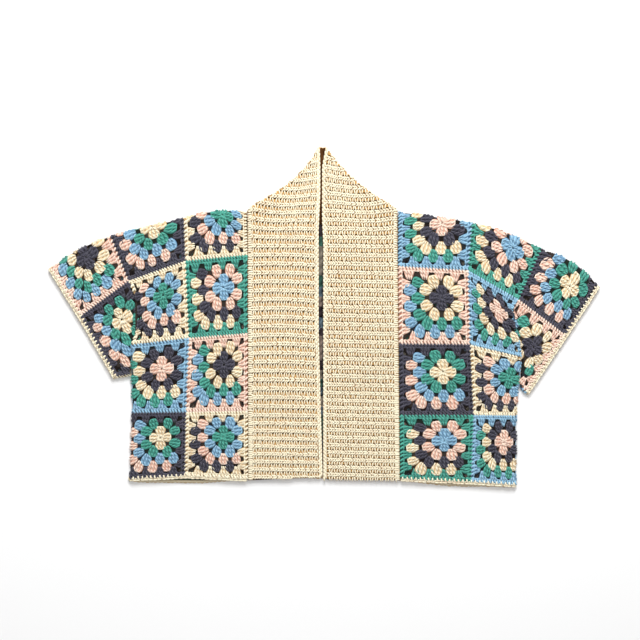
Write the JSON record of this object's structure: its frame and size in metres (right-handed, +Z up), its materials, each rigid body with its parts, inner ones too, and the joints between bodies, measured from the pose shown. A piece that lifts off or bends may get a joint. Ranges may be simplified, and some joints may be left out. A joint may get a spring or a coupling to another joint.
{
  "type": "boxy cardigan",
  "caption": "Open-fronted boxy cardigan of joined crochet squares with a ribbed neckband, laid flat with its front up.",
  "frame": {"origin": "middle of the flat garment on the surface that it lies on", "axes": "+X across the garment to the sleeve on the right as seen from above, +Y from the hem to the neck, +Z up out of the front"},
  "size_m": [0.9316, 0.5753, 0.0102],
  "materials": {
    "cream_yarn": "soft matt cream yarn",
    "green_yarn": "soft matt green yarn",
    "blue_yarn": "soft matt light blue yarn",
    "slate_yarn": "soft matt dark slate yarn",
    "blush_yarn": "soft matt blush yarn"
  },
  "bodies": {
    "root": {"left_sleeve_top": "blush_yarn", "left_shoulder_outer": "slate_yarn", "left_shoulder_inner": "cream_yarn", "right_sleeve_top": "slate_yarn", "right_shoulder_outer": "green_yarn", "right_shoulder_inner": "blue_yarn", "left_side_2": "cream_yarn", "left_side_3": "blue_yarn", "left_side_4": "slate_yarn", "left_inner_2": "green_yarn", "left_inner_3": "blush_yarn", "left_inner_4": "cream_yarn", "right_side_2": "blue_yarn", "right_side_3": "cream_yarn", "right_side_4": "blue_yarn", "right_inner_2": "blush_yarn", "right_inner_3": "slate_yarn", "right_inner_4": "green_yarn", "left_sleeve_front": "slate_yarn", "left_sleeve_back": "cream_yarn", "left_sleeve_back_top": "green_yarn", "right_sleeve_front": "blush_yarn", "right_sleeve_back": "blue_yarn", "right_sleeve_back_top": "cream_yarn", "back_2_1": "blue_yarn", "back_2_2": "green_yarn", "back_2_3": "slate_yarn", "back_2_4": "cream_yarn", "back_2_5": "blush_yarn", "back_2_6": "green_yarn", "back_3_1": "cream_yarn", "back_3_2": "blush_yarn", "back_3_3": "blue_yarn", "back_3_4": "green_yarn", "back_3_5": "slate_yarn", "back_3_6": "cream_yarn", "back_4_1": "green_yarn", "back_4_2": "slate_yarn", "back_4_3": "cream_yarn", "back_4_4": "blush_yarn", "back_4_5": "blue_yarn", "back_4_6": "blush_yarn", "neckband": "cream_yarn", "hem_edging": "cream_yarn", "left_cuff_edging": "cream_yarn", "right_cuff_edging": "cream_yarn"}
  },
  "joints": []
}
